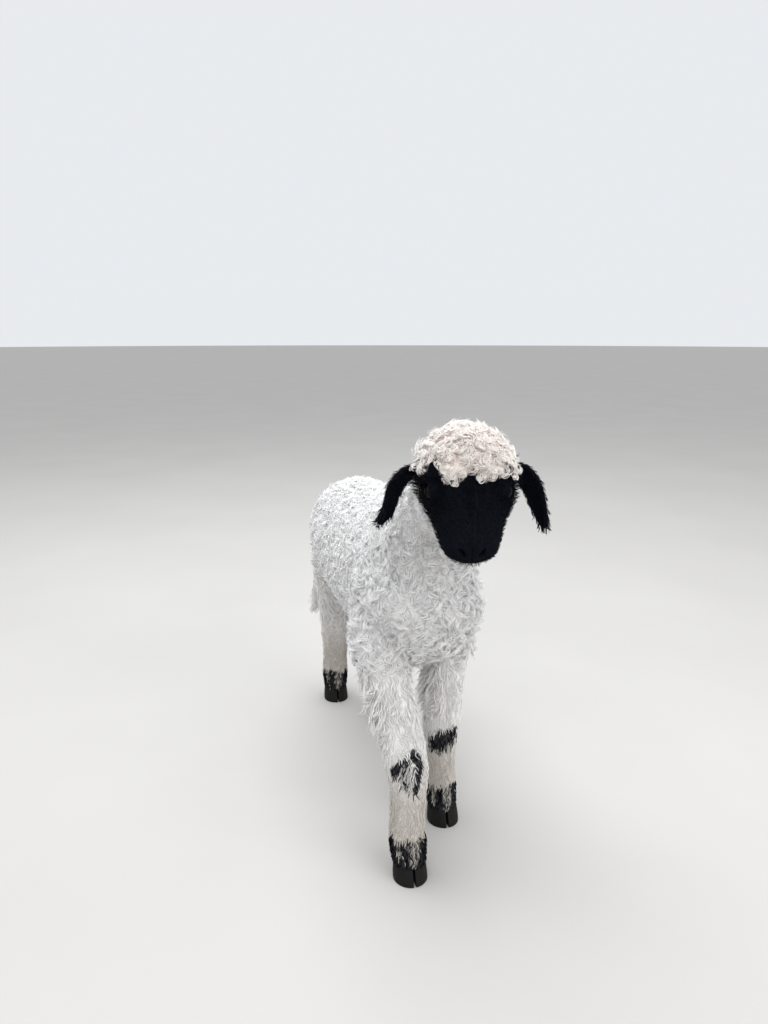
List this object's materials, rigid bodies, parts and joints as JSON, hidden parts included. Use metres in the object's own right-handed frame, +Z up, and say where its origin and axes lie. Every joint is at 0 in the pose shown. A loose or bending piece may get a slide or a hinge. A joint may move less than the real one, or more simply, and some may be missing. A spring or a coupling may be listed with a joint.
{
  "type": "valais blacknose sheep, lamb",
  "caption": "Valais blacknose lamb standing with one foreleg a step ahead and its head turned slightly, with curly pale wool, a black face, black ears and black feet.",
  "frame": {"origin": "on the floor under the middle of the bounding box", "axes": "+Z up; the lamb faces -Y with its left side towards +X, so +Y runs from its breast to its rump"},
  "size_m": [0.1809, 0.5575, 0.4901],
  "materials": {
    "wool": "matt, curly",
    "black_hair": "short, matt with a soft sheen",
    "hoof_horn": "satin horn",
    "eye": "wet and glossy"
  },
  "bodies": {
    "root": {"torso": "wool", "neck": "wool", "topknot": "wool", "head": "black_hair", "ear_right": "black_hair", "ear_left": "black_hair", "eye_right": "eye", "eye_left": "eye", "tail": "wool", "shoulder_right": "wool", "shoulder_left": "wool", "thigh_right": "wool", "thigh_left": "wool", "foreleg_right": "wool", "foreleg_left": "wool", "hindleg_right": "wool", "hindleg_left": "wool", "hoof_foreleg_right_right_claw": "hoof_horn", "hoof_foreleg_right_left_claw": "hoof_horn", "hoof_foreleg_left_right_claw": "hoof_horn", "hoof_foreleg_left_left_claw": "hoof_horn", "hoof_hindleg_right_right_claw": "hoof_horn", "hoof_hindleg_right_left_claw": "hoof_horn", "hoof_hindleg_left_right_claw": "hoof_horn", "hoof_hindleg_left_left_claw": "hoof_horn"}
  },
  "joints": []
}
